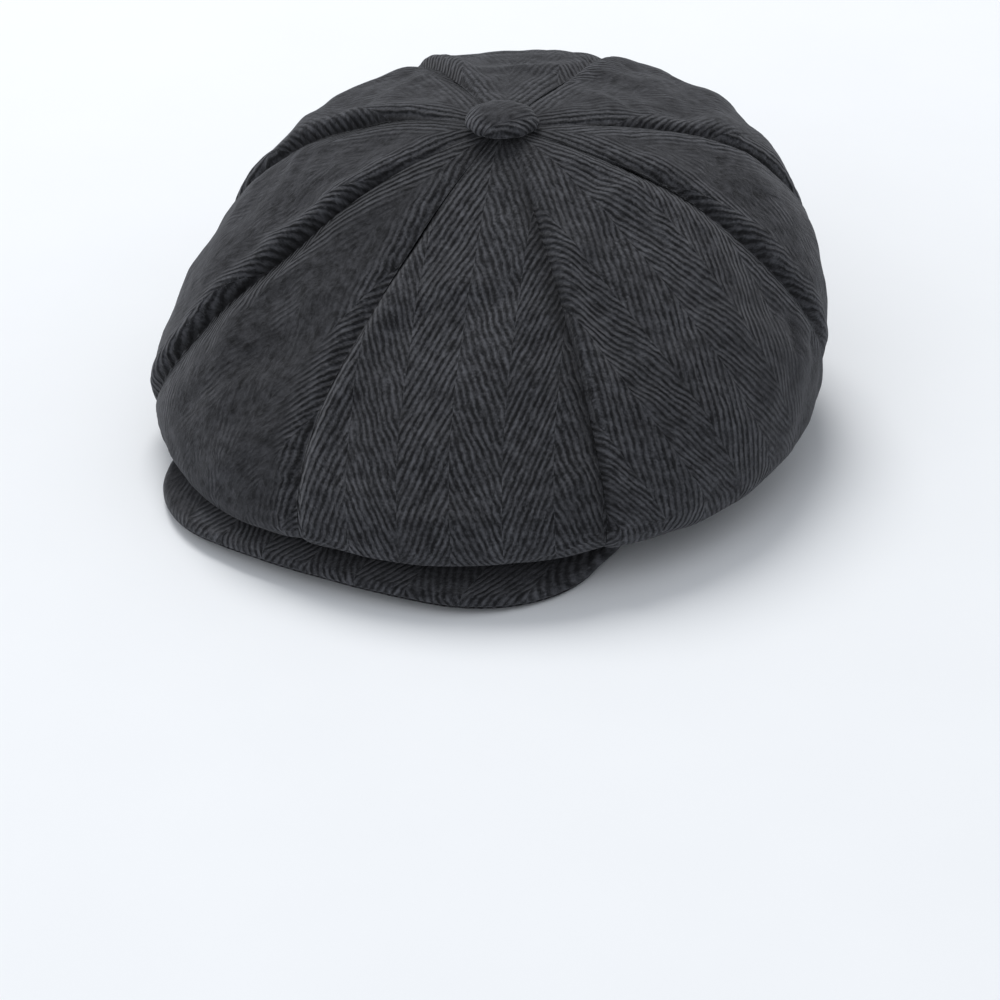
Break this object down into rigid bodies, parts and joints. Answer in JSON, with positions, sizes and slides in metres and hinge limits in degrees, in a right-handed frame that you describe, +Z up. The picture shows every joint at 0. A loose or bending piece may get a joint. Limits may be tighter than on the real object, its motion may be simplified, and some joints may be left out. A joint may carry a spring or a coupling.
{
  "type": "newsboy cap",
  "caption": "Soft newsboy cap: full gored crown gathered to a head band, covered button on top, short stiff visor under the overhanging front, fully lined.",
  "frame": {"origin": "centre of the head opening, on the plane of the band's lower edge, where the cap rests", "axes": "+Z up along the head opening's axis, -Y forward to the visor, +X to the wearer's left"},
  "size_m": [0.2664, 0.2864, 0.1342],
  "materials": {
    "wool_tweed": "napped herringbone wool, charcoal",
    "lining_satin": "smooth satin lining, black",
    "cotton_twill": "cotton twill, black",
    "buckram": "stiffened cotton, off-white",
    "elastic_tape": "woven elastic, black",
    "visor_plastic": "matt, natural polyethylene",
    "button_metal": "pressed tinned steel"
  },
  "bodies": {
    "root": {"crown_panel_front_left": "wool_tweed", "crown_panel_temple_left": "wool_tweed", "crown_panel_ear_left": "wool_tweed", "crown_panel_back_left": "wool_tweed", "crown_panel_back_right": "wool_tweed", "crown_panel_ear_right": "wool_tweed", "crown_panel_temple_right": "wool_tweed", "crown_panel_front_right": "wool_tweed", "lining_panel_front_left": "lining_satin", "lining_panel_temple_left": "lining_satin", "lining_panel_ear_left": "lining_satin", "lining_panel_back_left": "lining_satin", "lining_panel_back_right": "lining_satin", "lining_panel_ear_right": "lining_satin", "lining_panel_temple_right": "lining_satin", "lining_panel_front_right": "lining_satin", "button_cover": "wool_tweed", "button_shell": "button_metal", "button_back": "button_metal", "outer_band": "wool_tweed", "band_stiffener": "buckram", "sweatband": "cotton_twill", "rear_elastic": "elastic_tape", "visor_top_cover": "wool_tweed", "visor_board": "visor_plastic", "visor_under_cover": "wool_tweed"}
  },
  "joints": []
}
